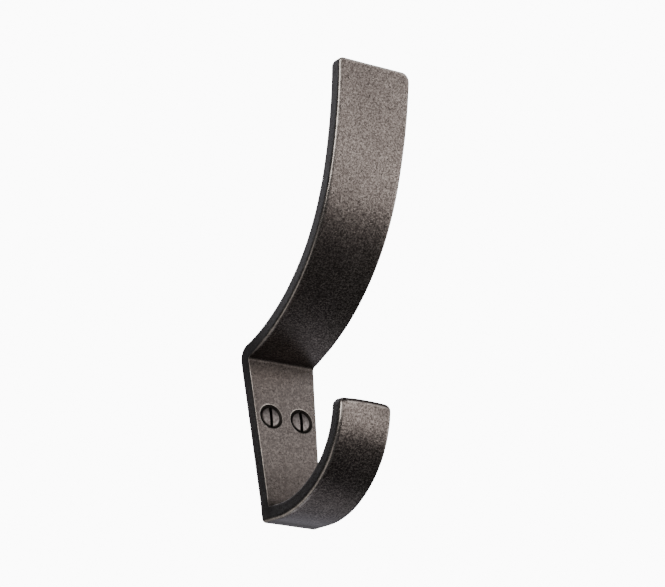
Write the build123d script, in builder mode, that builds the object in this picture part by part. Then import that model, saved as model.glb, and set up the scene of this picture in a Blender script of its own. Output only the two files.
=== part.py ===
"""Hat and coat hook: one cast strap bent into a long upper arm, a wall plate and a short cup, with
two slotted countersunk wood screws.

Frame: +X across the hook, -Y away from the wall, +Z up. The origin is on the plate's back face,
midway between the two screws. Sizes are in millimetres and angles in degrees.
"""
from build123d import *
import math
import os

os.makedirs("parts", exist_ok=True)

# --- The strap ------------------------------------------------------------------------------------
strap_thickness = 4.4
upper_tip_width = 25.0
kink_width = 23.0  # where the upper arm leaves the plate
foot_width = 18.3  # where the cup leaves the plate
cup_tip_width = 17.4
front_round = 1.0  # on the strap's edges along the plate's front face, from tip to tip
back_chamfer = 0.4  # on its edges along the face that lies on the wall, from tip to tip
tip_corner_radius = 2.4
side_blend_radius = 80.0  # eases each change of taper along the strap's sides

# --- The plate, measured from the line of the screws ----------------------------------------------
plate_top = 22.6  # up to the upper arm's rear face at the wall
plate_bottom = 32.7  # down to the outside corner on the wall
kink_inside_radius = 1.0
kink_outside_radius = 4.2
foot_inside_radius = 0.8
foot_outside_radius = 0.8
foot_straight = 3.2  # the plate's sides begin to spread this far above the cup's inside corner

# --- The upper arm: it leaves the wall squarely and its lower face climbs in two arcs ---------------
arm_root_radius = 64.7
arm_root_sweep = 62.0
arm_tip_radius = 126.0
arm_tip_sweep = 16.4

# --- The cup: its outer face leaves the wall in a dipping flat and climbs in two arcs ---------------
cup_dip = 12.0
cup_flat = 8.9
cup_floor_radius = 34.0
cup_floor_sweep = 41.5
cup_tip_radius = 27.5
cup_tip_sweep = 51.6
cup_tip_trim = 0.4  # taken off the strap's end when it is rounded to its crown
cup_crown_radius = 85.0

# --- The screws -------------------------------------------------------------------------------------
screw_spacing = 10.5
countersink_diameter = 7.8
countersink_angle = 90.0
screw_length = 25.0  # from the widest ring of the head to the point
plain_length = 9.5  # from the widest ring of the head to the thread
shank_diameter = 3.5
shank_clearance = 0.25  # between the shank and its hole, on the radius
seat_clearance = 0.04  # between the head's cone and the countersink
head_diameter = 6.4
head_land = 0.15  # upright rim above the head's cone
head_edge = 0.2  # chamfer above the rim
slot_width = 0.9
slot_depth = 1.0
core_diameter = 2.5  # under the thread
point_length = 3.5


def heading(angle):
    """Direction in the side view, as (Y, Z), that leaves the wall and climbs at this angle."""
    return (-math.cos(math.radians(angle)), math.sin(math.radians(angle)))


def step(point, angle, along=0.0, above=0.0):
    """The point reached from another by going along a heading and squarely above it."""
    y, z = heading(angle)
    return (point[0] + along * y + above * z, point[1] + along * z - above * y)


def arc_run(start, angle, *bends):
    """Tangent arcs that set out on a heading and climb through each (radius, sweep)."""
    arcs = []
    tangent = heading(angle)
    for radius, sweep in bends:
        arcs.append(JernArc(start=start, tangent=tangent, radius=radius, arc_size=-sweep))
        start, tangent = arcs[-1] @ 1, arcs[-1] % 1
    return arcs


def corner(sketch, point):
    """The vertex of a sketch that lies nearest to a point of its plane."""
    return sketch.vertices().sort_by_distance((point[0], point[1], 0))[0]


def end_corners(solid):
    """The two edges across the strap's thickness at the end that stands highest."""
    end_face = solid.faces().sort_by(Axis.Z)[-1]
    return end_face.edges().filter_by(lambda edge: abs((edge % 0.5).X) < 0.5)


def rim(solid, start, sharp=30):
    """The sharp edges round the run of faces that carries on smoothly from one face."""
    run, found = [start], []
    for face in run:
        for edge in face.edges():
            for other in solid.faces():
                if other.is_same(face) or not any(edge.is_same(side) for side in other.edges()):
                    continue
                turn = face.normal_at(edge @ 0.5).get_angle(other.normal_at(edge @ 0.5))
                if turn > sharp:
                    found.append(edge)
                elif not any(other.is_same(known) for known in run):
                    run.append(other)
    return found


# --- Corners of the side view, before they are rounded ----------------------------------------------
front = -strap_thickness
kink_outside = (0, plate_top)
kink_inside = (front, plate_top - strap_thickness)
foot_outside = (0, -plate_bottom)
cup_inner_root = step(foot_outside, -cup_dip, above=strap_thickness)
foot_inside = step(
    cup_inner_root,
    -cup_dip,
    along=(cup_inner_root[0] - front) / math.cos(math.radians(cup_dip)),
)
sides_spread = foot_inside[1] + foot_straight
joint = foot_inside[1] + foot_straight / 3  # where the two halves of the strap are joined

# --- Upper half: the plate and the upper arm --------------------------------------------------------
with BuildPart() as upper_half:
    with BuildSketch(Plane.YZ) as arm_side:
        with BuildLine():
            lower_face = arc_run(
                step(kink_outside, 0, above=-strap_thickness),
                0,
                (arm_root_radius, arm_root_sweep),
                (arm_tip_radius, arm_tip_sweep),
            )
            rear_face = arc_run(
                kink_outside,
                0,
                (arm_root_radius - strap_thickness, arm_root_sweep),
                (arm_tip_radius - strap_thickness, arm_tip_sweep),
            )
            Line(lower_face[0] @ 0, rear_face[0] @ 0)
            Line(lower_face[-1] @ 1, rear_face[-1] @ 1)
        make_face()
        plate_height = plate_top - strap_thickness / 2 - joint
        with Locations((front, joint)):
            Rectangle(strap_thickness, plate_height, align=(Align.MIN, Align.MIN))
        fillet(corner(arm_side, kink_inside), kink_inside_radius)
        fillet(corner(arm_side, kink_outside), kink_outside_radius)
    extrude(amount=upper_tip_width, both=True)

    arm_top = upper_half.part.bounding_box().max.Z
    with BuildSketch(Plane.XZ) as front_outline:
        with BuildLine():
            right_side = Polyline(
                (foot_width / 2, joint),
                (foot_width / 2, sides_spread),
                (kink_width / 2, kink_inside[1]),
                (upper_tip_width / 2, arm_top),
            )
            left_side = mirror(right_side, Plane.YZ)
            Line(right_side @ 0, left_side @ 0)
            Line(right_side @ 1, left_side @ 1)
        make_face()
        for side in (-1, 1):
            fillet(corner(front_outline, (side * foot_width / 2, sides_spread)), side_blend_radius)
            fillet(corner(front_outline, (side * kink_width / 2, kink_inside[1])), side_blend_radius)
    extrude(amount=2 * arm_top, both=True, mode=Mode.INTERSECT)
    fillet(end_corners(upper_half.part), tip_corner_radius)

# --- Lower half: the cup ----------------------------------------------------------------------------
with BuildPart() as lower_half:
    with BuildSketch(Plane.YZ) as cup_side:
        with BuildLine():
            outer_flat = Line(foot_outside, step(foot_outside, -cup_dip, along=cup_flat))
            inner_flat = Line(cup_inner_root, step(cup_inner_root, -cup_dip, along=cup_flat))
            outer_face = arc_run(
                outer_flat @ 1,
                -cup_dip,
                (cup_floor_radius, cup_floor_sweep),
                (cup_tip_radius, cup_tip_sweep),
            )
            inner_face = arc_run(
                inner_flat @ 1,
                -cup_dip,
                (cup_floor_radius - strap_thickness, cup_floor_sweep),
                (cup_tip_radius - strap_thickness, cup_tip_sweep),
            )
            Line(outer_flat @ 0, inner_flat @ 0)
            Line(outer_face[-1] @ 1, inner_face[-1] @ 1)
        make_face()
        with Locations((front, -plate_bottom)):
            Rectangle(strap_thickness, plate_bottom + joint, align=(Align.MIN, Align.MIN))
        fillet(corner(cup_side, foot_inside), foot_inside_radius)
        fillet(corner(cup_side, foot_outside), foot_outside_radius)
    extrude(amount=foot_width, both=True)

    cup_reach = lower_half.part.bounding_box().min.Y
    with BuildSketch(Plane.XY) as cup_outline:
        with BuildLine():
            right_side = Polyline(
                (foot_width / 2, 0),
                (foot_width / 2, -cup_flat),
                (cup_tip_width / 2, cup_reach),
            )
            left_side = mirror(right_side, Plane.YZ)
            Line(right_side @ 0, left_side @ 0)
            Line(right_side @ 1, left_side @ 1)
        make_face()
        for side in (-1, 1):
            fillet(corner(cup_outline, (side * foot_width / 2, -cup_flat)), side_blend_radius)
    extrude(amount=2 * plate_bottom, both=True, mode=Mode.INTERSECT)

    # The end is rounded to its crown, in the plane of the cup's outer face there.
    end_heading = Vector(0, *tuple(outer_face[-1] % 1)[:2])
    end_point = Vector(0, *tuple(outer_face[-1] @ 1)[:2]) - end_heading * cup_tip_trim
    crown_plane = Plane(origin=end_point, x_dir=(1, 0, 0), z_dir=Vector(1, 0, 0).cross(end_heading))
    with BuildSketch(crown_plane):
        Rectangle(2 * foot_width, foot_width)
        with Locations((0, -cup_crown_radius)):
            Circle(cup_crown_radius, mode=Mode.SUBTRACT)
    extrude(amount=2 * strap_thickness, both=True, mode=Mode.SUBTRACT)
    fillet(end_corners(lower_half.part), tip_corner_radius)

# --- The whole strap --------------------------------------------------------------------------------
with BuildPart() as hook_body:
    add(upper_half.part)
    add(lower_half.part)
    flat_faces = hook_body.faces().filter_by(Plane.XZ).sort_by(Axis.Y)
    front_rim = rim(hook_body.part, flat_faces[0])
    back_rim = rim(hook_body.part, flat_faces[-1])
    fillet(front_rim, front_round)
    chamfer(back_rim, back_chamfer)
    with Locations(Plane.XZ.offset(strap_thickness)):
        with GridLocations(screw_spacing, screw_spacing, 2, 1):
            CounterSinkHole(
                radius=shank_diameter / 2 + shank_clearance,
                counter_sink_radius=countersink_diameter / 2,
                counter_sink_angle=countersink_angle,
            )
hook_body.part.label = "hook_body"
export_step(hook_body.part, "parts/hook_body.step")

# --- The screws -------------------------------------------------------------------------------------
cone_half_angle = math.radians(countersink_angle / 2)
head_radius = head_diameter / 2
shank_radius = shank_diameter / 2
core_radius = core_diameter / 2
rim_gap = countersink_diameter / 2 - head_radius - seat_clearance / math.cos(cone_half_angle)
ring = front + rim_gap / math.tan(cone_half_angle)  # Y of the head's widest ring, seated
neck = ring + (head_radius - shank_radius) / math.tan(cone_half_angle)
rim_top = ring - head_land
head_top = rim_top - head_edge
thread_start = ring + plain_length
point = ring + screw_length

for name, screw_x in (("screw_left", -screw_spacing / 2), ("screw_right", screw_spacing / 2)):
    with BuildPart() as screw:
        with BuildSketch(Plane.YZ.offset(screw_x)):
            with BuildLine():
                Polyline(
                    (head_top, 0),
                    (head_top, head_radius - head_edge),
                    (rim_top, head_radius),
                    (ring, head_radius),
                    (neck, shank_radius),
                    (thread_start, shank_radius),
                    (thread_start + shank_radius - core_radius, core_radius),
                    (point - point_length, core_radius),
                    (point, 0),
                    close=True,
                )
            make_face()
        revolve(axis=Axis((screw_x, 0, 0), (0, 1, 0)))
        with BuildSketch(Plane.XZ.offset(-head_top)):
            with Locations((screw_x, 0)):
                Rectangle(slot_width, 2 * head_diameter)
        extrude(amount=-slot_depth, mode=Mode.SUBTRACT)
    screw.part.label = name
    export_step(screw.part, f"parts/{name}.step")
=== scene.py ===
"""Looks of a hat and coat hook: its aged casting, its two wood screws and a plain studio.

Everything is in metres in the hook's own frame: X across the hook, -Y away from the wall, +Z up, with
the origin on the plate's back face, midway between the screws.
"""
import bisect
import itertools
import math
from collections import namedtuple

import bmesh
import bpy
from bpy.props import FloatProperty, FloatVectorProperty, IntProperty, PointerProperty
from mathutils import Matrix, Vector, noise
from mathutils.kdtree import KDTree


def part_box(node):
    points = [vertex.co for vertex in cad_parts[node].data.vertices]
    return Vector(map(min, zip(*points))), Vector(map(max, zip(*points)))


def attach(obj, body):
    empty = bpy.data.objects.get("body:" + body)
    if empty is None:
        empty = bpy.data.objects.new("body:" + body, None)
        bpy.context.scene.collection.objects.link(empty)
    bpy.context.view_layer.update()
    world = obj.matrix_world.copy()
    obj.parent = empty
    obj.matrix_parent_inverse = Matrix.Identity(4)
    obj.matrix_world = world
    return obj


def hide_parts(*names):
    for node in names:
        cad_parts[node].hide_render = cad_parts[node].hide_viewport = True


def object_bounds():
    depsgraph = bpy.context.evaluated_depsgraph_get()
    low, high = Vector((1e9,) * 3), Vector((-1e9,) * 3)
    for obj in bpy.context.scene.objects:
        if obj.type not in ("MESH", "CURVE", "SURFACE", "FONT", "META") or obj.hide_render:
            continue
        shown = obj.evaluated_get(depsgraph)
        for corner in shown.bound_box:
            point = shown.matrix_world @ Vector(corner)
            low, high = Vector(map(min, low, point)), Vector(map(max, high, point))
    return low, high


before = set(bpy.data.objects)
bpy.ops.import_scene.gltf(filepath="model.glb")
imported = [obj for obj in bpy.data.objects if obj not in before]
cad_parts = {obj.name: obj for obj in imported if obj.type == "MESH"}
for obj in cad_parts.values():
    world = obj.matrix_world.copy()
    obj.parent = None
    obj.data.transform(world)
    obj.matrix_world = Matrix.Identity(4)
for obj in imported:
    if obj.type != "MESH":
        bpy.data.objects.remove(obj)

bl_info = {
    "name": "Hat and Coat Hook",
    "version": (1, 0, 0),
    "blender": (4, 5, 0),
    "location": "View3D > Sidebar > Hook",
    "description": "Builds the aged casting, the wood screws and the studio of a hat and coat hook",
    "category": "Object",
}

CAD_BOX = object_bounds()
MM = 0.001
STRAP_NODE = "hook_body"
SCREW_NODES = ("screw_left", "screw_right")


# --- Sizes and colours ---
def length(name, description, default):
    """A size in metres, given here in millimetres."""
    return FloatProperty(
        name=name, description=description, default=default * MM, min=0, precision=5, unit="LENGTH"
    )


def turn(name, description, default):
    """An angle in radians, given here in degrees."""
    return FloatProperty(
        name=name, description=description, default=math.radians(default), unit="ROTATION"
    )


def colour(name, description, default):
    return FloatVectorProperty(
        name=name, description=description, default=default, size=3, min=0, max=1, subtype="COLOR"
    )


def amount(name, description, default, top=1.0):
    return FloatProperty(name=name, description=description, default=default, min=0, max=top)


class HookStrapSizes(bpy.types.PropertyGroup):
    """The strap's side view, its widths and the softness of its edges."""

    thickness: length("Thickness", "Thickness of the strap", 4.4)
    plate_top: length("Plate top", "Height of the arm's rear face at the wall", 22.6)
    plate_bottom: length("Plate bottom", "Depth of the plate below the screws", 32.7)
    kink_inside: length("Kink inside", "Inside radius under the upper arm", 1.0)
    kink_outside: length("Kink outside", "Outside radius over the plate", 4.2)
    foot_inside: length("Foot inside", "Inside radius where the cup leaves the plate", 0.8)
    foot_outside: length("Foot outside", "Outside radius at the plate's foot", 1.2)
    foot_straight: length("Foot straight", "Parallel stretch of the sides above the cup", 3.2)
    arm_root_radius: length("Arm root radius", "Lower face of the arm near the wall", 64.7)
    arm_root_sweep: turn("Arm root sweep", "How far the arm's root climbs", 62.0)
    arm_tip_radius: length("Arm tip radius", "Lower face of the arm near its tip", 126.0)
    arm_tip_sweep: turn("Arm tip sweep", "How far the arm's tip climbs", 16.28)
    cup_dip: turn("Cup dip", "Fall of the cup's outer face as it leaves the wall", 12.0)
    cup_flat: length("Cup flat", "Flat stretch of the cup's outer face", 8.9)
    cup_floor_radius: length("Cup floor radius", "Outer radius of the cup's floor", 34.0)
    cup_floor_sweep: turn("Cup floor sweep", "How far the cup's floor climbs", 41.5)
    cup_tip_radius: length("Cup tip radius", "Outer radius near the cup's tip", 27.5)
    cup_tip_sweep: turn("Cup tip sweep", "How far the cup's tip climbs", 51.6)
    cup_tip_trim: length("Cup tip trim", "Taken off the cup's end in its middle", 0.25)
    cup_crown: length("Cup crown", "Radius of the cup's rounded end", 85.0)
    tip_width: length("Tip width", "Width of the upper arm's tip", 25.0)
    kink_width: length("Kink width", "Width where the arm leaves the plate", 23.0)
    foot_width: length("Foot width", "Width where the cup leaves the plate", 18.3)
    cup_width: length("Cup width", "Width of the cup's tip", 17.4)
    side_blend: length("Side blend", "Half the stretch over which a taper changes", 2.1)
    arm_corner: length("Arm corner", "Right corner radius of the upper arm's end", 3.0)
    left_corner: length("Left corner", "Left corner radius of the upper arm's end", 1.3)
    cup_corner: length("Cup corner", "Corner radius of the cup's end", 1.6)
    hidden_corner: length("Hidden corner", "Corner radius of the arm's end towards the wall", 2.3)
    plate_round: length("Plate round", "Rounding of the plate's front edges", 0.3)
    arm_round: length("Arm round", "Rounding of the upper arm's lower edges", 1.0)
    back_round: length("Back round", "Rounding of the edges at the wall and above", 0.45)
    cup_round: length("Cup round", "Rounding of the cup's outer edges", 1.15)
    hidden_end: length("Hidden end", "Rounding of the ends towards the wall", 1.2)
    arm_end: length("Arm end", "Rounding of the upper arm's end towards the room", 0.3)
    cup_end: length("Cup end", "Rounding of the cup's end towards the room", 1.5)
    end_slant: length("End slant", "How far each end runs on at its side towards the wall", 0.3)
    hole_radius: length("Hole radius", "Radius of each screw's hole", 2.0)
    sink_radius: length("Countersink radius", "Radius of each countersink at the face", 3.9)
    waviness: length("Waviness", "Height of the casting's slow undulation", 0.05)
    grain_step: length("Mesh step", "Spacing of the mesh along and across the strap", 0.55)


class HookScrewSizes(bpy.types.PropertyGroup):
    """The wood screws, measured from the widest ring of the head."""

    spacing: length("Spacing", "Distance between the two screws", 10.5)
    head_radius: length("Head radius", "Radius of the countersunk head", 3.2)
    head_land: length("Head land", "Upright rim of the head", 0.15)
    head_edge: length("Head edge", "Chamfer round the head's face", 0.2)
    head_dome: length("Head dome", "Rise of the head's face to its middle", 0.28)
    slot_width: length("Slot width", "Width of the slot", 0.9)
    slot_depth: length("Slot depth", "Depth of the slot", 1.0)
    shank_radius: length("Shank radius", "Radius of the plain shank and of the thread", 1.75)
    core_radius: length("Core radius", "Radius under the thread", 1.25)
    plain_length: length("Plain length", "From the head's ring to the thread", 9.5)
    full_length: length("Full length", "From the head's ring to the point", 25.0)
    point_length: length("Point length", "Length of the pointed end", 3.5)
    pitch: length("Pitch", "Rise of the thread in one turn", 1.41)
    steps: IntProperty(name="Steps", description="Mesh steps in a turn", default=40, min=12)


class HookFinish(bpy.types.PropertyGroup):
    """Colours and surface of the casting and of the screws."""

    patina_dark: colour("Dark patina", "Pits and hollows between the grains", (0.12, 0.10, 0.092))
    patina_mid: colour("Middle patina", "The casting's overall tone", (0.27, 0.232, 0.214))
    patina_light: colour("Light patina", "Rubbed grains that catch the light", (0.49, 0.432, 0.397))
    # Painted shade: a darker, cooler tone on the strap's narrow sides.
    painted_side_shade: colour("Side tone", "Patina on the strap's narrow sides", (0.17, 0.158, 0.155))
    bare_metal: colour("Bare metal", "Metal rubbed bare along the edges", (0.66, 0.60, 0.55))
    screw_metal: colour("Screw metal", "Steel of the screw heads", (0.42, 0.375, 0.36))
    # Painted shade in the screws' slots, round their rims, on their cones and upper parts and in the
    # casting's corners; also the dark of the casting's pits.
    shade_and_pit_dark: colour("Screw soot", "Dirt in the slots and on the cones", (0.016, 0.013, 0.012))
    grain: amount("Grain", "Strength of the casting's fine grain", 0.45)
    wear: amount("Wear", "How much of the edges is rubbed bare", 0.85)


SoftLight = namedtuple("SoftLight", "azimuth elevation reach width height glow tint place")

# Soft lights that face the hook, by azimuth and elevation in degrees and by sizes in metres.
SOFT_LIGHTS = {
    "key_light": SoftLight(44, -5, 0.90, 0.75, 0.72, 1.65, (1.0, 0.97, 0.95), "in front, on the right"),
    "high_card": SoftLight(44, 29, 0.70, 0.50, 0.24, 0.62, (0.97, 0.97, 1.0), "above the key light"),
    "front_card": SoftLight(-5, 4, 0.80, 0.44, 0.70, 0.9, (1.0, 0.97, 0.95), "in front"),
    "edge_light": SoftLight(-48, 9, 0.70, 0.26, 0.58, 4.0, (1.0, 0.99, 0.97), "that draws the edges"),
    "low_card": SoftLight(-105, -40, 0.60, 0.66, 0.36, 0.38, (1.0, 0.95, 0.93), "low on the left"),
    "band_card": SoftLight(-157, -24, 0.60, 0.46, 0.26, 0.42, (1.0, 0.96, 0.93), "low behind the cup"),
    "under_card": SoftLight(146, -13, 0.60, 0.50, 0.40, 0.37, (0.85, 0.87, 1.0), "under the cup"),
    "floor_card": SoftLight(165, -56, 0.60, 0.50, 0.36, 0.48, (0.90, 0.92, 1.0), "below the cup"),
    "right_card": SoftLight(88, 8, 0.70, 0.50, 0.60, 0.5, (0.95, 0.97, 1.0), "on the right"),
    "rim_light": SoftLight(140, 32, 0.70, 0.50, 0.34, 1.8, (0.95, 0.97, 1.0), "behind the right edges"),
    "side_card": SoftLight(-145, 42, 0.60, 0.45, 0.42, 0.46, (0.84, 0.90, 1.0), "behind the left side"),
    "back_card": SoftLight(-178, 24, 0.70, 0.40, 0.50, 0.5, (0.95, 0.97, 1.0), "behind the hook"),
    "top_light": SoftLight(180, 82, 0.90, 0.60, 0.40, 0.8, (0.97, 0.98, 1.0), "overhead"),
}


class HookStudio(bpy.types.PropertyGroup):
    """Camera and lights, with one brightness for each soft light."""

    azimuth: turn("Azimuth", "Turn of the camera round the hook", -35.04)
    elevation: turn("Elevation", "Height of the camera, below the hook when negative", -26.4)
    roll: turn("Roll", "Tilt of the camera about its own axis", -6.15)
    distance: length("Distance", "From the camera to the screws", 730.2)
    focal: FloatProperty(name="Focal length", description="In millimetres", default=132.6)
    aside: length("Aside", "Step of the camera to its right of the screws", 16.0)
    above: length("Above", "Step of the camera up from the screws", 39.1)
    air_glow: amount("Air glow", "Brightness of the room", 0.03, 50)


for light, row in SOFT_LIGHTS.items():
    label = light.replace("_", " ").capitalize()
    brightness = amount(label, f"Brightness of the light {row.place}", row.glow, 50)
    HookStudio.__annotations__[light] = brightness


# --- Small helpers ---
# Points of a mesh that lie closer than this are one point.
WELD = 0.002 * MM
# Mesh steps round the screws and round the cutters of their holes.
ROUND_STEPS = 96


def new_object(name, data):
    thing = bpy.data.objects.new(name, data)
    bpy.context.scene.collection.objects.link(thing)
    return thing


def mesh_of(name, points, faces):
    mesh = bpy.data.meshes.new(name)
    mesh.from_pydata([tuple(point) for point in points], [], faces)
    mesh.update()
    return mesh


def closed_mesh(name, points, faces):
    """A welded mesh whose faces all look outwards."""
    mesh = mesh_of(name, points, faces)
    work = bmesh.new()
    work.from_mesh(mesh)
    bmesh.ops.remove_doubles(work, verts=work.verts, dist=WELD)
    bmesh.ops.recalc_face_normals(work, faces=work.faces)
    work.to_mesh(mesh)
    work.free()
    return mesh


def cut_away(thing, cutter):
    """Takes a closed mesh away from an object."""
    cut = thing.modifiers.new("Cut", "BOOLEAN")
    cut.operation = "DIFFERENCE"
    cut.solver = "EXACT"
    cut.object = new_object("cutter", cutter)


def settle(thing):
    """Turns an object's live modifiers into its mesh and removes them and their cutters."""
    bpy.context.view_layer.update()
    evaluated = thing.evaluated_get(bpy.context.evaluated_depsgraph_get())
    mesh = bpy.data.meshes.new_from_object(evaluated)
    cutters = [modifier.object for modifier in thing.modifiers if modifier.type == "BOOLEAN"]
    thing.modifiers.clear()
    thing.data = mesh
    for cutter in cutters:
        bpy.data.objects.remove(cutter)


def smooth_to(mesh, degrees):
    """Smooth shading with a crisp line wherever two faces meet at more than an angle."""
    mesh.shade_smooth()
    mesh.set_sharp_from_angle(angle=math.radians(degrees))


def even(first, last, count):
    """Evenly spaced values from the first to the last, both of them included."""
    return [first + (last - first) * k / count for k in range(count + 1)]


def eased(share):
    """A smooth step from 0 to 1."""
    share = min(1, max(0, share))
    return share * share * (3 - 2 * share)


def turned(profile):
    """Points and faces of a closed (Y, radius) profile turned about the Y axis."""
    points, faces, rings = [], [], []
    for y, radius in profile:
        count = 1 if radius == 0 else ROUND_STEPS
        rings.append(range(len(points), len(points) + count))
        for k in range(count):
            angle = 2 * math.pi * k / ROUND_STEPS
            points.append((radius * math.cos(angle), y, radius * math.sin(angle)))
    for first, second in zip(rings, rings[1:]):
        for k in range(ROUND_STEPS):
            a, b = first[k % len(first)], first[(k + 1) % len(first)]
            c, d = second[(k + 1) % len(second)], second[k % len(second)]
            faces.append(list(dict.fromkeys((a, b, c, d))))
    return points, faces


# --- The strap's side view ---
QUARTER = math.pi / 2
# Mesh steps round the corner at the plate's foot.
FOOT_STEPS = 8


def swing(angle):
    """Unit vector in (Y, Z) that stands squarely above a heading which climbs at this angle."""
    return Vector((math.sin(angle), math.cos(angle)))


class Line(namedtuple("Line", "start end")):
    """A straight in (Y, Z)."""

    def points(self, count):
        return [self.start.lerp(self.end, share) for share in even(0, 1, count)]


class Arc(namedtuple("Arc", "centre radius first last")):
    """An arc in (Y, Z) below its centre, or above it with a radius below zero."""

    def at(self, angle):
        return self.centre - self.radius * swing(angle)

    def points(self, count):
        return [self.at(angle) for angle in even(self.first, self.last, count)]


class SideView:
    """Matched points of the front and back faces, from the upper arm's tip to the cup's tip."""

    def __init__(self, size):
        self.size = size
        self.front, self.back = [], []
        self.upper_arm()
        self.plate_and_cup()

    def add(self, front, back, count):
        """Adds matched stretches of the two faces, which start where the last ones end."""
        first = 1 if self.front else 0
        self.front += front.points(count)[first:]
        self.back += back.points(count)[first:]

    def steps(self, run):
        return max(2, round(run / self.size.grain_step))

    def upper_arm(self):
        s = self.size
        front = self.arm_face(0, s.thickness + s.kink_inside, s.kink_inside, 0)
        back = self.arm_face(s.thickness, s.kink_outside, s.kink_outside, s.end_slant)
        climb = s.arm_root_sweep - front[1].last
        runs = (s.arm_tip_radius * s.arm_tip_sweep, s.arm_root_radius * climb, s.kink_outside * QUARTER)
        for near, far, run in zip(front, back, runs):
            self.kink = len(self.front)
            self.add(near, far, self.steps(run))

    def arm_face(self, depth, off_wall, rounding, slant):
        """The tip's arc, the root's arc and the kink of one face, which lies at a depth in the arm."""
        s = self.size
        root_radius, tip_radius = s.arm_root_radius - depth, s.arm_tip_radius - depth
        root = Vector((0, s.plate_top + s.arm_root_radius - s.thickness))
        tip = root + (s.arm_tip_radius - s.arm_root_radius) * swing(s.arm_root_sweep)
        end = s.arm_root_sweep + s.arm_tip_sweep + slant / tip_radius
        reach = root_radius + rounding
        start = math.asin(off_wall / reach)
        kink = Vector((-off_wall, root.y - math.sqrt(reach * reach - off_wall * off_wall)))
        return (
            Arc(tip, tip_radius, end, s.arm_root_sweep),
            Arc(root, root_radius, s.arm_root_sweep, start),
            Arc(kink, -rounding, start, QUARTER),
        )

    def plate_and_cup(self):
        s = self.size
        dip = -s.cup_dip
        ahead, above = Vector((-math.cos(dip), math.sin(dip))), swing(dip)
        outer_corner = Vector((0, -s.plate_bottom))
        inner_root = outer_corner + s.thickness * above
        self.inner_corner = inner_root + ahead * ((inner_root.x + s.thickness) / math.cos(dip))
        inner = self.foot_arc(self.inner_corner, ahead, s.foot_inside)
        outer = self.foot_arc(outer_corner, ahead, s.foot_outside)
        self.add(
            Line(self.front[-1], inner.at(-QUARTER)),
            Line(self.back[-1], outer.at(-QUARTER)),
            self.steps(self.front[-1].y - inner.centre.y),
        )
        self.foot = len(self.front)
        self.add(inner, outer, FOOT_STEPS)
        end_front, end_back = inner_root + s.cup_flat * ahead, outer_corner + s.cup_flat * ahead
        flats = Line(self.front[-1], end_front), Line(self.back[-1], end_back)
        self.add(*flats, self.steps(s.cup_flat))
        floor = end_back + s.cup_floor_radius * above
        climb = dip + s.cup_floor_sweep
        tip = floor + (s.cup_tip_radius - s.cup_floor_radius) * swing(climb)
        trim = s.cup_tip_trim / s.cup_tip_radius
        slant = s.end_slant / (s.cup_tip_radius - s.thickness)
        self.cup_arc(floor, s.cup_floor_radius, dip, climb)
        self.cup_arc(tip, s.cup_tip_radius, climb, climb + s.cup_tip_sweep - trim, slant)

    def foot_arc(self, corner, ahead, radius):
        """The arc that rounds a corner between the plate and the cup's flat, which heads ahead."""
        dip = -self.size.cup_dip
        along = radius * (1 + math.sin(dip)) / math.cos(dip)
        return Arc(corner + ahead * along + swing(dip) * radius, radius, -QUARTER, dip)

    def cup_arc(self, centre, radius, first, last, slant=0.0):
        """An arc of the cup, whose inner face runs on by a slant angle at its end."""
        inner = Arc(centre, radius - self.size.thickness, first, last + slant)
        self.add(inner, Arc(centre, radius, first, last), self.steps(radius * (last - first)))


def smoothed_line(knots, value, blend):
    """Height of a broken line through (place, height) knots, eased over a short stretch."""

    def height(place):
        for (x0, y0), (x1, y1) in zip(knots, knots[1:]):
            if place <= x1:
                return y0 + (y1 - y0) * max(0, place - x0) / (x1 - x0)
        return knots[-1][1]

    samples = [value + blend * share for share in (-0.9, -0.6, -0.3, 0, 0.3, 0.6, 0.9)]
    return sum(height(sample) for sample in samples) / len(samples)


# --- The strap's skin ---
# How much further the ends are rubbed than the sides.
END_RUB = 0.4 * MM
# Nearness that leaves the patina whole, as on the cup's end.
UNWORN = 2.0
# Share of the cup's end rounding that counts as its end.
CUP_END_SHARE = 0.6
# Stretches above the kink and to each side of the foot over which the edges' rounding changes.
KINK_CHANGE = 8 * MM
FOOT_CHANGE = 2 * MM
# The stretch over which the cup's end takes its crown.
CROWN_REACH = 10 * MM
# The tightest corner that a rounded end keeps under its face.
TIGHTEST = 0.2 * MM

Station = namedtuple("Station", "front back step past_kink past_foot")


class Side(namedtuple("Side", "width step corner side_round end_round")):
    """One face's edges at a station: half width, distance from the end and three radii."""

    def nearness(self, x, depth):
        """Distance from this face's sharp edges, counted in their roundings."""
        inside = max(0, self.width - abs(x))
        if max(inside, self.step) < self.corner:
            inside = max(0, self.corner - math.hypot(self.corner - inside, self.corner - self.step))
        to_side = math.hypot(inside, depth) / self.side_round
        to_end = math.hypot(self.step, depth) - END_RUB
        return min(to_side, to_end / self.end_round)


def rounded_off(depth, radius):
    """How far a rounded edge of this radius stands back, at a depth under its face."""
    if depth >= radius:
        return 0.0
    return radius - math.sqrt(radius**2 - (radius - depth) ** 2)


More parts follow.
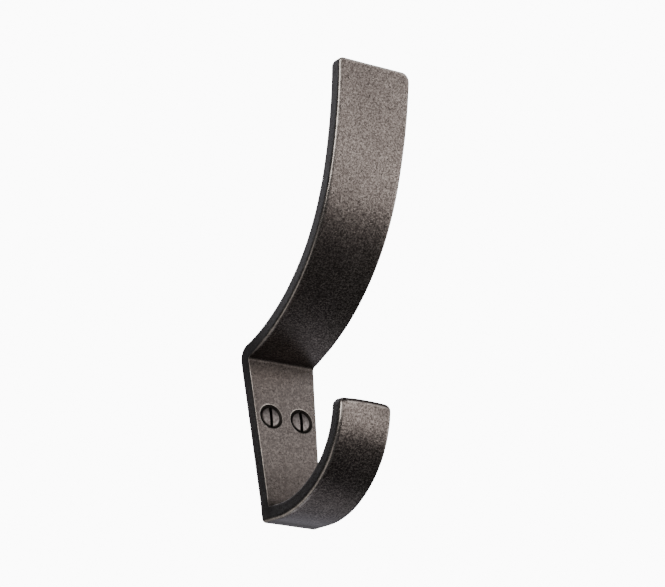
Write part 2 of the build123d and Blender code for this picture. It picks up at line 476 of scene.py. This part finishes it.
class StrapSkin:
    """Rings of points round the strap, one for each station of its side view."""

    # Mesh steps across a face, round an edge, down a side and along a corner of an end.
    across = 42
    edge = 6
    flank = 5
    closing = 9

    def __init__(self, size):
        self.size = size
        self.view = SideView(size)
        self.kink_height = size.plate_top - size.thickness
        self.spread = self.view.inner_corner.y + size.foot_straight
        self.arm_top = self.view.back[0].y
        self.cup_reach = self.view.back[-1].x
        self.points, self.faces, self.rim = [], [], []
        self.rings()

    def half_width(self, place, in_cup):
        s = self.size
        if in_cup:
            knots = ((s.cup_flat, s.foot_width / 2), (-self.cup_reach, s.cup_width / 2))
            return smoothed_line(knots, -place.x, s.side_blend)
        knots = (
            (self.spread, s.foot_width / 2),
            (self.kink_height, s.kink_width / 2),
            (self.arm_top, s.tip_width / 2),
        )
        return smoothed_line(knots, place.y, s.side_blend)

    def run_along(self):
        """How far each station lies along the strap, from the upper arm's tip."""
        middle = [a.lerp(b, 0.5) for a, b in zip(self.view.front, self.view.back)]
        run = [0.0]
        for first, second in zip(middle, middle[1:]):
            run.append(run[-1] + (second - first).length)
        return run

    def closing_in(self, corner):
        """Distances from an end, ever closer together towards it."""
        return [corner * (1 - math.cos(angle)) for angle in even(0, QUARTER, self.closing)]

    def stations(self):
        """Stations from one end to the other, close together where the ends are rounded."""
        view, run = self.view, self.run_along()
        whole, last = run[-1], len(run) - 1
        upper, lower = self.closing_in(self.size.arm_corner), self.closing_in(self.size.cup_corner)
        places = [place for place in run if upper[-1] * 1.1 < place < whole - lower[-1] * 1.1]
        found = []
        for place in (*upper, *places, *(whole - step for step in reversed(lower))):
            k = min(bisect.bisect_right(run, place) - 1, last - 1)
            share = (place - run[k]) / (run[k + 1] - run[k])
            front, back = (face[k].lerp(face[k + 1], share) for face in (view.front, view.back))
            past_kink, past_foot = run[view.kink] - place, place - run[view.foot]
            found.append(Station(front, back, min(place, whole - place), past_kink, past_foot))
        return found

    def half_at(self, side, depth):
        """Half width at a depth under a face whose edges are rounded at its sides and its end."""
        inset = rounded_off(depth, side.side_round)
        corner = max(side.corner - inset, TIGHTEST)
        along = min(side.step - rounded_off(depth, side.end_round), corner)
        return side.width - inset - corner + math.sqrt(max(0, corner**2 - (corner - along) ** 2))

    def corner_points(self, side):
        """(half width, depth) round one rounded edge, from its face to the strap's side."""
        start = rounded_off(min(side.step, side.end_round), side.end_round)
        first = math.acos(1 - min(start, side.side_round) / side.side_round)
        found = []
        for angle in even(first, QUARTER, self.edge):
            depth = max(start, side.side_round * (1 - math.cos(angle)))
            found.append((self.half_at(side, depth), depth))
        return found

    def sides(self, station, on_left):
        """The front and the back face's edges at a station."""
        s, in_cup = self.size, station.past_foot > 0
        on_arm = eased(station.past_kink / KINK_CHANGE)
        on_cup = eased((station.past_foot + FOOT_CHANGE) / (2 * FOOT_CHANGE))
        front_round = s.plate_round + (s.arm_round - s.plate_round) * on_arm
        back_round = s.back_round + (s.cup_round - s.back_round) * on_cup
        if in_cup:
            corners, ends = (s.cup_corner, s.cup_corner), (s.hidden_end, s.cup_end)
        else:
            corners, ends = (s.arm_corner, s.hidden_corner), (s.arm_end, s.hidden_end)
            if on_left:
                corners = (s.left_corner, (s.left_corner + s.hidden_corner) / 2)
        rows = zip((station.front, station.back), corners, (front_round, back_round), ends)
        return [
            Side(self.half_width(place, in_cup), station.step, corner, side_round, end_round)
            for place, corner, side_round, end_round in rows
        ]

    def half_ring(self, thick, front_side, back_side):
        """(half width, depth) round one half of the strap, from the front's middle to the back's."""
        shares = even(0, 1, self.across // 2)[:-1]
        near, far = self.corner_points(front_side), self.corner_points(back_side)
        half = [(near[0][0] * share, near[0][1]) for share in shares]
        half += near
        top, bottom = near[-1][1], thick - far[-1][1]
        for share in even(0, 1, self.flank)[1:-1]:
            depth = top + (bottom - top) * share
            front_half = self.half_at(front_side, depth)
            back_half = self.half_at(back_side, thick - depth)
            half.append((front_half + (back_half - front_half) * depth / thick, depth))
        half += [(x, thick - depth) for x, depth in reversed(far)]
        half += [(far[0][0] * share, thick - far[0][1]) for share in reversed(shares)]
        return half

    def rings(self):
        """Lays a ring at each station, with each point's nearness to the edges."""
        for station in self.stations():
            front, back = station.front, station.back
            depth_of, thick = (back - front).normalized(), (back - front).length
            right, left = self.sides(station, False), self.sides(station, True)
            in_cup = station.past_foot > 0
            on_cup_end = in_cup and station.step < CUP_END_SHARE * self.size.cup_end
            ring = [(x, d, right) for x, d in self.half_ring(thick, *right)]
            ring += [(-x, d, left) for x, d in self.half_ring(thick, *left)[-2:0:-1]]
            bend = self.crown_shift(station.step) if in_cup else Vector((0, 0))
            for x, depth, (near, far) in ring:
                place = front + depth_of * depth + bend * self.crown_sag(x)
                self.points.append(Vector((x, *place)))
                rubbed = min(near.nearness(x, depth), far.nearness(x, thick - depth))
                self.rim.append(UNWORN if on_cup_end else rubbed)
        self.close(len(ring))

    def crown_sag(self, x):
        return x * x / (2 * self.size.cup_crown)

    def crown_shift(self, step):
        """Direction and share of the cup end's crown at a station."""
        tangent = self.view.front[-2] - self.view.front[-1]
        return tangent.normalized() * eased(1 - step / CROWN_REACH)

    def close(self, size):
        """Joins each ring of this size to the next and closes both ends."""
        count = len(self.points)
        for start in range(0, count - size, size):
            for j in range(size):
                a, b = start + j, start + (j + 1) % size
                self.faces.append((a, b, b + size, a + size))
        self.faces.append(tuple(range(size)))
        self.faces.append(tuple(range(count - size, count)))


def undulate(mesh, height):
    """Moves the surface in and out by the slow unevenness of a sand casting."""
    slow_waves, quick_waves, quick_share = 0.085, 0.42, 0.35
    fineness = (1.0, 2.0, 2)
    mesh.update()
    moves = []
    for vertex in mesh.vertices:
        place = vertex.co / MM
        slow = noise.fractal(place * slow_waves, *fineness)
        quick = noise.fractal(place * quick_waves + Vector((31, 7, 3)), *fineness)
        moves.append(vertex.normal * height * (slow + quick_share * quick))
    for vertex, move in zip(mesh.vertices, moves):
        vertex.co += move


def hole_cutter(size, middle):
    """One screw hole with its countersink, as a closed mesh to take away."""
    face = -size.thickness
    beyond = 1.0 * MM
    lip = 0.05 * MM
    cone_end = face + size.sink_radius - size.hole_radius
    profile = (
        (face - beyond, 0),
        (face - beyond, size.sink_radius + 2 * lip),
        (face - lip, size.sink_radius + 2 * lip),
        (face + lip, size.sink_radius - lip),
        (cone_end, size.hole_radius),
        (beyond, size.hole_radius),
        (beyond, 0),
    )
    points, faces = turned(profile)
    return closed_mesh("hole_cutter", [(x + middle, y, z) for x, y, z in points], faces)


class Patch(namedtuple("Patch", "dark reach top", defaults=(1.0,))):
    """A darkening that fades with the distance from its middle, and later the higher its top is above
    1.
    """

    def at(self, away_from_middle):
        return self.dark * eased(self.top - away_from_middle / self.reach)


# Painted shade round the kink, further along its left side, round the foot, in the pocket at the foot's
# left end and up the plate from the foot; the last patch darkens the cup's tip on its right.
KINK_SHADE, LEFT_SHADE = Patch(0.55, 7 * MM), Patch(0.75, 20 * MM)
FOOT_SHADE, POCKET_SHADE = Patch(0.8, 7 * MM), Patch(1.0, 2.2 * MM, 1.2)
PLATE_SHADE, TIP_DARKENING = Patch(0.5, 20 * MM), Patch(0.32, 9 * MM)


class StrapWearAndShade:
    """Where the casting is rubbed bare and where shade is painted on it."""

    def __init__(self, skin, spacing):
        size = self.size = skin.size
        self.skin, self.spacing = skin, spacing
        self.kink = Vector((-size.thickness, skin.kink_height))
        self.foot = skin.view.inner_corner
        self.pocket = Vector((1.8 * MM - size.foot_width / 2, *self.foot))
        self.cup_right = Vector((size.cup_width / 2 - 1 * MM, *skin.view.back[-1]))
        self.tree = KDTree(len(skin.points))
        for index, point in enumerate(skin.points):
            self.tree.insert(point, index)
        self.tree.balance()

    def from_screw(self, place):
        """Distances from the nearer screw's axis and from the plate's face."""
        off_axis = math.hypot(abs(place.x) - self.spacing / 2, place.z)
        return off_axis, place.y + self.size.thickness

    def nearness(self, place):
        """Distance from the sharp edges, counted in their roundings."""
        sink_round, least = 0.25 * MM, 0.02 * MM
        nearest = self.tree.find_n(place, 3)
        shares = [(1 / (reach + least), index) for _, index, reach in nearest]
        value = sum(share * self.skin.rim[index] for share, index in shares)
        value /= sum(share for share, _ in shares)
        off_axis, under_face = self.from_screw(place)
        to_sink = math.hypot(off_axis - self.size.sink_radius, under_face)
        return min(value, to_sink / sink_round)

    def painted_shade(self, place):
        """Painted shade: 1 in the countersinks, and less round the inside corners and up the plate; a
        darkening by the cup's tip.
        """
        rim, floor = 0.03 * MM, 4.2 * MM
        off_axis, under_face = self.from_screw(place)
        if off_axis < self.size.sink_radius - rim and rim < under_face < floor:
            return 1.0
        from_side = Vector((place.y, place.z))
        to_kink, to_foot = (from_side - self.kink).length, (from_side - self.foot).length
        in_kink, in_foot = KINK_SHADE.at(to_kink), FOOT_SHADE.at(to_foot)
        in_pocket = POCKET_SHADE.at((place - self.pocket).length)
        by_tip = TIP_DARKENING.at((place - self.cup_right).length)
        if abs(under_face) < 0.1 * MM:
            up_plate = PLATE_SHADE.at(place.z - self.foot.y)
            return max(in_kink, in_foot, in_pocket, by_tip, up_plate)
        on_left = LEFT_SHADE.at(to_kink) * eased(0.1 - place.x / (12 * MM))
        return max(in_kink, in_foot, in_pocket, by_tip, on_left)


def mark_wear_and_shade(mesh, wear):
    """Stores each point's nearness to the edges, its painted shade and how far it looks to the side."""
    marks = {
        "edge_nearness": [wear.nearness(vertex.co) for vertex in mesh.vertices],
        "painted_shade": [wear.painted_shade(vertex.co) for vertex in mesh.vertices],
        "sideways": [abs(vertex.normal.x) for vertex in mesh.vertices],
    }
    for name, values in marks.items():
        mesh.attributes.new(name, "FLOAT", "POINT").data.foreach_set("value", values)


class HOOK_OT_strap(bpy.types.Operator):
    """Models the cast strap with its rounded edges and its two countersunk holes"""

    bl_idname = "hook.strap"
    bl_label = "Cast strap"

    def execute(self, context):
        size = context.scene.hook_strap
        spacing = context.scene.hook_screws.spacing
        skin = StrapSkin(size)
        mesh = closed_mesh("cast_strap", skin.points, skin.faces)
        undulate(mesh, size.waviness)
        strap = new_object("cast_strap", mesh)
        for side in (-1, 1):
            cut_away(strap, hole_cutter(size, side * spacing / 2))
        settle(strap)
        smooth_to(strap.data, 38)
        self.compare(strap)
        mark_wear_and_shade(strap.data, StrapWearAndShade(skin, spacing))
        strap.data.materials.clear()
        strap.data.materials.append(cast_finish(context.scene.hook_finish))
        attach(strap, "root")
        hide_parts(STRAP_NODE)
        return {"FINISHED"}

    def compare(self, strap):
        """Stops if the modelled strap isn't the size of the solid it stands for."""
        slip = 0.4 * MM
        low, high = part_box(STRAP_NODE)
        for axis in range(3):
            places = [vertex.co[axis] for vertex in strap.data.vertices]
            if max(abs(min(places) - low[axis]), abs(max(places) - high[axis])) > slip:
                raise ValueError(
                    f"axis {axis}: {min(places)} to {max(places)}, not {low[axis]} to {high[axis]}"
                )


# --- Node trees ---
class Value:
    """A node's output that is added and multiplied as a number is."""

    def __init__(self, tree, socket):
        self.tree, self.socket = tree, socket

    def __add__(self, other):
        return self.tree.math("ADD", self, other)

    def __sub__(self, other):
        return self.tree.math("SUBTRACT", self, other)

    def __rsub__(self, other):
        return self.tree.math("SUBTRACT", other, self)

    def __mul__(self, other):
        return self.tree.math("MULTIPLY", self, other)

    def __truediv__(self, other):
        return self.tree.math("DIVIDE", self, other)


class Tree:
    """A node tree with short ways to add nodes and join them."""

    def __init__(self, tree):
        self.tree = tree

    def put(self, value, target):
        """Joins a value or a node's first output to an input, or sets the input to a plain value."""
        if isinstance(value, Value):
            self.tree.links.new(value.socket, target)
        elif isinstance(value, bpy.types.Node):
            self.tree.links.new(value.outputs[0], target)
        else:
            target.default_value = value

    def fill(self, node, given):
        """Puts values into a node's inputs, by name or in order."""
        for key, value in (given if isinstance(given, dict) else dict(enumerate(given))).items():
            self.put(value, node.inputs[key])

    def add(self, kind, given=(), **settings):
        """A new node with its settings and its filled inputs."""
        node = self.tree.nodes.new(kind)
        for name, value in settings.items():
            setattr(node, name, value)
        self.fill(node, given)
        return node

    def value(self, kind, given=(), output=0, **settings):
        """An output of a new node."""
        return Value(self, self.add(kind, given, **settings).outputs[output])

    def math(self, operation, *values):
        return self.value("ShaderNodeMath", values, operation=operation)

    def vector(self, *parts):
        return self.value("ShaderNodeCombineXYZ", parts)

    def step(self, value, low, high, to_low=0.0, to_high=1.0):
        """A smooth step from low to high."""
        given = (value, low, high, to_low, to_high)
        return self.value("ShaderNodeMapRange", given, interpolation_type="SMOOTHSTEP", clamp=True)


def material_tree(name):
    material = bpy.data.materials.new(name)
    material.use_nodes = True
    return material, material.node_tree


# --- The screws ---
THREAD_SIZES = ("Spacing", "Pitch", "Thread radius", "Core radius", "Start", "Length", "Point")
SCREW_INPUTS = {
    "Blank": "Geometry",
    **dict.fromkeys(THREAD_SIZES, "Float"),
    "Steps": "Int",
    "Finish": "Material",
}
# Half widths of the thread's foot and crest in pitches, and how deep it roots in heights.
THREAD_FOOT, THREAD_CREST, THREAD_ROOT = 0.3, 0.04, 0.3
# Size of the thread's section at its very ends, as a share of its full size.
THREAD_END = 0.02
# Mesh steps from the middle of a head's domed face to its edge.
DOME_STEPS = 8


def thread_path(t, given):
    """The curve that the thread follows, and the size of its section along it."""
    pitch, span = given["Pitch"], given["Length"]
    count = t.math("FLOOR", span / pitch * given["Steps"])
    line = t.add("GeometryNodeCurvePrimitiveLine", {"End": (0, 0, 1)})
    line = t.add("GeometryNodeResampleCurve", {"Curve": line, "Count": count})
    place = t.value("GeometryNodeInputIndex") / (count - 1.0) * span
    angle = place / pitch * (2 * math.pi)
    across, up = t.math("COSINE", angle), t.math("SINE", angle)
    to_point = t.step(span - place, 0.0, given["Point"])
    from_start = t.step(place, 0.0, pitch)
    radius = given["Core radius"] * to_point
    spot = t.vector(across * radius, place + given["Start"], up * radius)
    path = t.add("GeometryNodeSetPosition", {"Geometry": line, "Position": spot})
    outwards = {"Curve": path, "Normal": t.vector(across, 0.0, up)}
    path = t.add("GeometryNodeSetCurveNormal", outwards, mode="FREE")
    return path, t.math("MAXIMUM", to_point * from_start, THREAD_END)


def thread_section(t, given):
    """The thread's wedge, with its foot under the core's surface."""
    height, pitch = given["Thread radius"] - given["Core radius"], given["Pitch"]
    root, foot, crest = height * -THREAD_ROOT, pitch * THREAD_FOOT, pitch * THREAD_CREST
    corners = ((root, foot * -1.0), (height, crest * -1.0), (height, crest), (root, foot))
    points = {f"Point {number}": t.vector(*corner) for number, corner in enumerate(corners, 1)}
    return t.add("GeometryNodeCurvePrimitiveQuadrilateral", points, mode="POINTS")


def screw_tree():
    """Geometry Nodes that wind a thread round a blank screw and set two of them side by side."""
    tree = bpy.data.node_groups.new("Wood screw pair", "GeometryNodeTree")
    for name, kind in SCREW_INPUTS.items():
        tree.interface.new_socket(name, in_out="INPUT", socket_type=f"NodeSocket{kind}")
    tree.interface.new_socket("Screws", in_out="OUTPUT", socket_type="NodeSocketGeometry")
    t = Tree(tree)
    given = {socket.name: Value(t, socket) for socket in t.add("NodeGroupInput").outputs}
    path, scale = thread_path(t, given)
    sweep = {"Curve": path, "Profile Curve": thread_section(t, given), "Scale": scale}
    thread = t.add("GeometryNodeCurveToMesh", {**sweep, "Fill Caps": True})
    screw = t.add("GeometryNodeJoinGeometry", (thread,))
    t.put(given["Blank"], screw.inputs[0])
    spacing = given["Spacing"]
    row = {"Count": 2, "Start Location": t.vector(spacing * -0.5), "Offset": t.vector(spacing)}
    places = t.add("GeometryNodeMeshLine", row, mode="OFFSET")
    pair = t.add("GeometryNodeInstanceOnPoints", {"Points": places, "Instance": screw})
    pair = t.add("GeometryNodeRealizeInstances", (pair,))
    pair = t.add("GeometryNodeSetMaterial", {"Geometry": pair, "Material": given["Finish"]})
    t.add("NodeGroupOutput", (pair,))
    return tree


def give(modifier, values):
    """Sets a Geometry Nodes modifier's inputs by their sockets' identifiers."""
    for item in modifier.node_group.interface.items_tree:
        if item.name in values:
            modifier[item.identifier] = values[item.name]


def screw_blank(size, ring, top):
    """An unthreaded screw, from its head's face at the top to its point."""
    start, point = ring + size.plain_length, ring + size.full_length
    face_radius = size.head_radius - size.head_edge
    shares = even(0, 1, DOME_STEPS)
    profile = (
        *[(top - size.head_dome * (1 - share**2), share * face_radius) for share in shares],
        (top + 0.4 * size.head_edge, size.head_radius - 0.25 * size.head_edge),
        (ring - size.head_land, size.head_radius),
        (ring, size.head_radius),
        (ring + size.head_radius - size.shank_radius, size.shank_radius),
        (start, size.shank_radius),
        (start + size.shank_radius - size.core_radius, size.core_radius),
        (point - size.point_length, size.core_radius),
        (point, 0),
    )
    return closed_mesh("wood_screws", *turned(profile))


def slot_cutter(size, top):
    """A bar that stands in the slot and out of the head."""
    half, reach = size.slot_width / 2, 2 * size.head_radius
    low, high = (-half, top - size.head_radius, -reach), (half, top + size.slot_depth, reach)
    points = itertools.product(*zip(low, high))
    faces = ((0, 1, 3, 2), (4, 6, 7, 5), (0, 4, 5, 1), (2, 3, 7, 6), (0, 2, 6, 4), (1, 5, 7, 3))
    return closed_mesh("slot_cutter", points, faces)


class HOOK_OT_screws(bpy.types.Operator):
    """Models the two slotted wood screws with their threads"""

    bl_idname = "hook.screws"
    bl_label = "Wood screws"

    def execute(self, context):
        size = context.scene.hook_screws
        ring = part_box(SCREW_NODES[0])[1][1] - size.full_length
        top = ring - size.head_land - size.head_edge
        screws = new_object("wood_screws", screw_blank(size, ring, top))
        cut_away(screws, slot_cutter(size, top))
        soften = screws.modifiers.new("Soften", "BEVEL")
        soften.width = 0.05 * MM
        soften.segments = 2
        soften.limit_method = "ANGLE"
        soften.angle_limit = math.radians(50)
        pair = screws.modifiers.new("Pair", "NODES")
        pair.node_group = screw_tree()
        values = {
            "Spacing": size.spacing,
            "Pitch": size.pitch,
            "Thread radius": size.shank_radius,
            "Core radius": size.core_radius,
            "Start": ring + size.plain_length,
            "Length": size.full_length - size.plain_length,
            "Point": size.point_length,
            "Steps": size.steps,
            "Finish": screw_finish(context.scene.hook_finish, top, size),
        }
        give(pair, values)
        settle(screws)
        smooth_to(screws.data, 35)
        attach(screws, "root")
        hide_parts(*SCREW_NODES)
        return {"FINISHED"}


# --- Finishes ---
class Finish(Tree):
    """A new material that reads the place on its object."""

    def __init__(self, name):
        self.material, tree = material_tree(name)
        super().__init__(tree)
        self.place = self.value("ShaderNodeTexCoord", output="Object")
        split = self.add("ShaderNodeSeparateXYZ", (self.place,))
        self.x, self.y, self.z = (Value(self, socket) for socket in split.outputs)

    def mark(self, name):
        """A value that is stored on the mesh."""
        return self.value("ShaderNodeAttribute", output="Fac", attribute_name=name)

    def noise(self, per_metre, detail, rough):
        given = {"Vector": self.place, "Scale": per_metre, "Detail": detail, "Roughness": rough}
        return self.value("ShaderNodeTexNoise", given)

    def blend(self, share, first, second):
        """Mixes two colours, each a plain one or a value."""
        first, second = (c if isinstance(c, Value) else (*c, 1.0) for c in (first, second))
        return self.value("ShaderNodeMix", {0: share, 6: first, 7: second}, 2, data_type="RGBA")

    def dress(self, colour, metallic, rough, relief, strength, height):
        """Gives the surface its colour, its gloss and its relief."""
        given = {"Height": relief, "Strength": strength, "Distance": height}
        bump = self.add("ShaderNodeBump", given)
        given = {"Base Color": colour, "Metallic": metallic, "Roughness": rough, "Normal": bump}
        self.fill(self.tree.nodes["Principled BSDF"], given)
        return self.material


def cast_finish(look):
    """Grainy brown-grey casting, rubbed bare along its edges, with painted shade that makes its sides
    darker and cooler and darkens its corners and countersinks.
    """
    t = Finish("aged_casting")
    edge, painted_shade = t.mark("edge_nearness"), t.mark("painted_shade")
    sideways = t.step(t.mark("sideways"), 0.6, 0.9)
    cloud = t.noise(60.0, 2.0, 0.5)
    blotch = t.noise(420.0, 3.0, 0.6)
    grain = t.noise(1700.0, 2.0, 0.6)
    speck = t.noise(3300.0, 1.0, 0.5)
    cells = {"Vector": t.place, "Scale": 1150.0}
    hole = t.step(t.value("ShaderNodeTexVoronoi", cells, "Distance", feature="F1"), 0.34, 0.12)
    pit = hole * t.step(blotch, 0.44, 0.58)

    mottle = grain * 0.55 + speck * 0.45
    hollow = t.blend(t.step(mottle, 0.41, 0.53), look.patina_dark, look.patina_mid)
    face = t.blend(t.step(mottle, 0.50, 0.64), hollow, look.patina_light)
    shade = t.step(cloud * 0.5 + blotch * 0.5, 0.58, 0.42, 0.0, 0.30)
    face = t.blend(shade, face, look.patina_dark)
    on_plate = t.step(t.y, -9.0 * MM, -5.0 * MM, 0.0, 0.38)
    face = t.blend(on_plate, face, look.patina_mid)
    # Painted shade: the narrow sides take a darker, cooler tone.
    side = t.blend(t.step(mottle, 0.35, 0.60), look.patina_dark, look.painted_side_shade)
    skin = t.blend(sideways * 0.85, face, side)
    skin = t.blend(pit * 0.7, skin, look.shade_and_pit_dark)

    ragged = edge + (blotch - 0.5) * 1.4
    worn = t.step(ragged, 0.95, 0.35) * look.wear * t.step(grain, 0.25, 0.50, 0.55, 1.0)
    skin = t.blend(worn, skin, look.bare_metal)
    # Painted shade in the countersinks, in the inside corners and up the plate, and a darkening by the
    # cup's tip.
    skin = t.blend(painted_shade * 0.9, skin, look.shade_and_pit_dark)
    rough = (grain - 0.5) * 0.20 + 0.34 + painted_shade * 0.3 - worn * 0.12
    relief = grain * 0.6 + speck * 0.3 + blotch * 0.4 - pit * 0.35
    return t.dress(skin, 0.92, rough, relief, look.grain, 0.12 * MM)


def screw_finish(look, top, size):
    """Dull steel, with painted shade in its slot, round its rim, on its cone and on its upper part."""
    t = Finish("aged_screw_steel")
    across = t.math("ABSOLUTE", t.x) - size.spacing / 2
    off_axis = t.math("SQRT", t.math("MULTIPLY_ADD", across, across, t.z * t.z))
    half_slot, rim = size.slot_width / 2, size.head_radius - size.head_edge
    # Painted shade in the slot, round the head's rim and on the cone below the head.
    in_slot = t.step(t.math("ABSOLUTE", across), half_slot + 0.18 * MM, half_slot)
    at_rim = t.step(off_axis, rim - 0.35 * MM, rim - 0.05 * MM)
    deep = t.step(t.y, top + 0.08 * MM, top + 0.45 * MM)
    in_front = 1.0 - t.step(t.y, -0.2 * MM, 0.2 * MM)
    recess_shade = t.math("MAXIMUM", t.math("MAXIMUM", in_slot, at_rim), deep) * in_front
    grime, fine = t.noise(900.0, 4.0, 0.6), t.noise(5200.0, 2.0, 0.5)
    metal = t.blend(t.step(grime, 0.40, 0.68, 0.0, 0.75), look.screw_metal, look.patina_dark)
    # Painted shade on the head's upper part.
    upper = t.step(t.z, -0.5 * MM, 2.5 * MM, 0.0, 0.6)
    metal = t.blend(upper * in_front, metal, look.shade_and_pit_dark)
    metal = t.blend(recess_shade * 0.92, metal, look.shade_and_pit_dark)
    rough = t.step(fine, 0.3, 0.7, 0.34, 0.50)
    return t.dress(metal, 0.9, rough, grime + fine * 0.4, 0.35, 0.05 * MM)


# --- Studio ---
AIR_COLOUR = (0.9, 0.95, 1.0, 1)
# Glow of the backdrop's papers and of the floor's.
PAPER_GLOW, FLOOR_GLOW = 11.0, 10.0
# Half sizes of the wall's board and of the floor, the floor's depth below, and the dome's radius.
WALL_HALF, FLOOR_HALF, FLOOR_DROP, DOME_RADIUS = 0.45, 1.5, 0.6, 6


def away(azimuth, elevation):
    """Unit vector from the hook towards a camera or light, from two angles in radians."""
    level = math.cos(elevation)
    return Vector((math.sin(azimuth) * level, -math.cos(azimuth) * level, math.sin(elevation)))


def paper(name, strength, one_sided):
    """White backdrop paper that glows evenly, and that is clear from behind if it is one-sided."""
    material, tree = material_tree(name)
    tree.nodes.remove(tree.nodes["Principled BSDF"])
    t = Tree(tree)
    glow = t.add("ShaderNodeEmission", {"Color": (1, 1, 1, 1), "Strength": strength})
    if one_sided:
        behind = t.value("ShaderNodeNewGeometry", output="Backfacing")
        glow = t.add("ShaderNodeMixShader", (behind, glow, t.add("ShaderNodeBsdfTransparent")))
    t.put(glow, tree.nodes["Material Output"].inputs["Surface"])
    return material


def backdrop(mesh, material):
    """A stage piece that the camera sees and that neither lights nor shades the hook."""
    sheet = new_object(mesh.name, mesh)
    mesh.materials.append(material)
    for kind in ("diffuse", "glossy", "transmission", "shadow", "volume_scatter"):
        setattr(sheet, f"visible_{kind}", False)


def rectangle(name, centre, right, up):
    """A mesh of one face that looks along right x up."""
    corners = ((-1, -1), (1, -1), (1, 1), (-1, 1))
    points = [centre + right * a + up * b for a, b in corners]
    return mesh_of(name, points, [(0, 1, 2, 3)])


def dome(name):
    """A mesh of a wide ball whose faces look inwards."""
    ball = bmesh.new()
    bmesh.ops.create_icosphere(ball, subdivisions=3, radius=DOME_RADIUS)
    bmesh.ops.reverse_faces(ball, faces=ball.faces)
    mesh = bpy.data.meshes.new(name)
    ball.to_mesh(mesh)
    ball.free()
    return mesh


def soft_light(name, light, glow):
    """A rectangular soft light of an even glow that faces the middle of the hook."""
    lamp = bpy.data.lights.new(name, "AREA")
    lamp.shape, lamp.size, lamp.size_y = "RECTANGLE", light.width, light.height
    lamp.energy = glow * math.pi * light.width * light.height
    lamp.color = light.tint
    thing = new_object(name, lamp)
    middle = (Vector(CAD_BOX[0]) + Vector(CAD_BOX[1])) / 2
    towards = away(math.radians(light.azimuth), math.radians(light.elevation))
    facing = towards.to_track_quat("Z", "Y").to_matrix().to_4x4()
    thing.matrix_world = Matrix.Translation(middle + towards * light.reach) @ facing
    thing.visible_camera = False


class HOOK_OT_stage(bpy.types.Operator):
    """Sets up the pale floor and backdrop, the soft lights and the camera"""

    bl_idname = "hook.stage"
    bl_label = "Studio"

    def execute(self, context):
        studio = context.scene.hook_studio
        self.backdrops()
        for name, light in SOFT_LIGHTS.items():
            soft_light(name, light, getattr(studio, name))
        world = bpy.data.worlds.new("studio_air")
        world.use_nodes = True
        air = {"Color": AIR_COLOUR, "Strength": studio.air_glow}
        Tree(world.node_tree).fill(world.node_tree.nodes["Background"], air)
        context.scene.world = world
        self.camera(context, studio)
        return {"FINISHED"}

    def backdrops(self):
        across, deep, up = Vector((1, 0, 0)), Vector((0, 1, 0)), Vector((0, 0, 1))
        wall = rectangle("wall_board", deep * 0.1 * MM, across * WALL_HALF, up * WALL_HALF)
        floor = rectangle("floor", up * -FLOOR_DROP, across * FLOOR_HALF, deep * FLOOR_HALF)
        backdrop(wall, paper("wall_paper", PAPER_GLOW, True))
        backdrop(dome("far_paper"), paper("dome_paper", PAPER_GLOW, False))
        backdrop(floor, paper("floor_paper", FLOOR_GLOW, True))

    def camera(self, context, studio):
        back = away(studio.azimuth, studio.elevation)
        right = (-back).cross(Vector((0, 0, 1))).normalized()
        up = right.cross(-back)
        roll = Matrix.Rotation(studio.roll, 3, back)
        right, up = roll @ right, roll @ up
        data = bpy.data.cameras.new("camera")
        data.lens = studio.focal
        data.sensor_width = 36
        camera = new_object("camera", data)
        place = back * studio.distance + right * studio.aside + up * studio.above
        turned_to = Matrix((right, up, back)).transposed().to_4x4()
        camera.matrix_world = Matrix.Translation(place) @ turned_to
        context.scene.camera = camera


class HOOK_PT_panel(bpy.types.Panel):
    """Lists the hook's pieces and their sizes"""

    bl_idname = "HOOK_PT_panel"
    bl_label = "Hat and coat hook"
    bl_space_type = "VIEW_3D"
    bl_region_type = "UI"
    bl_category = "Hook"

    def draw(self, context):
        for group, (settings, operator) in GROUPS.items():
            box = self.layout.box()
            box.operator(operator.bl_idname)
            for name in settings.__annotations__:
                box.prop(getattr(context.scene, group), name)


GROUPS = {
    "hook_strap": (HookStrapSizes, HOOK_OT_strap),
    "hook_screws": (HookScrewSizes, HOOK_OT_screws),
    "hook_finish": (HookFinish, HOOK_OT_strap),
    "hook_studio": (HookStudio, HOOK_OT_stage),
}
SETTINGS = [settings for settings, _ in GROUPS.values()]
CLASSES = (*SETTINGS, HOOK_OT_strap, HOOK_OT_screws, HOOK_OT_stage, HOOK_PT_panel)


def register():
    for kind in CLASSES:
        bpy.utils.register_class(kind)
    for group, settings in zip(GROUPS, SETTINGS):
        setattr(bpy.types.Scene, group, PointerProperty(type=settings))


def unregister():
    for group in GROUPS:
        delattr(bpy.types.Scene, group)
    for kind in reversed(CLASSES):
        bpy.utils.unregister_class(kind)


def main():
    register()
    bpy.ops.hook.strap()
    bpy.ops.hook.screws()
    bpy.ops.hook.stage()


if __name__ == "__main__":
    main()
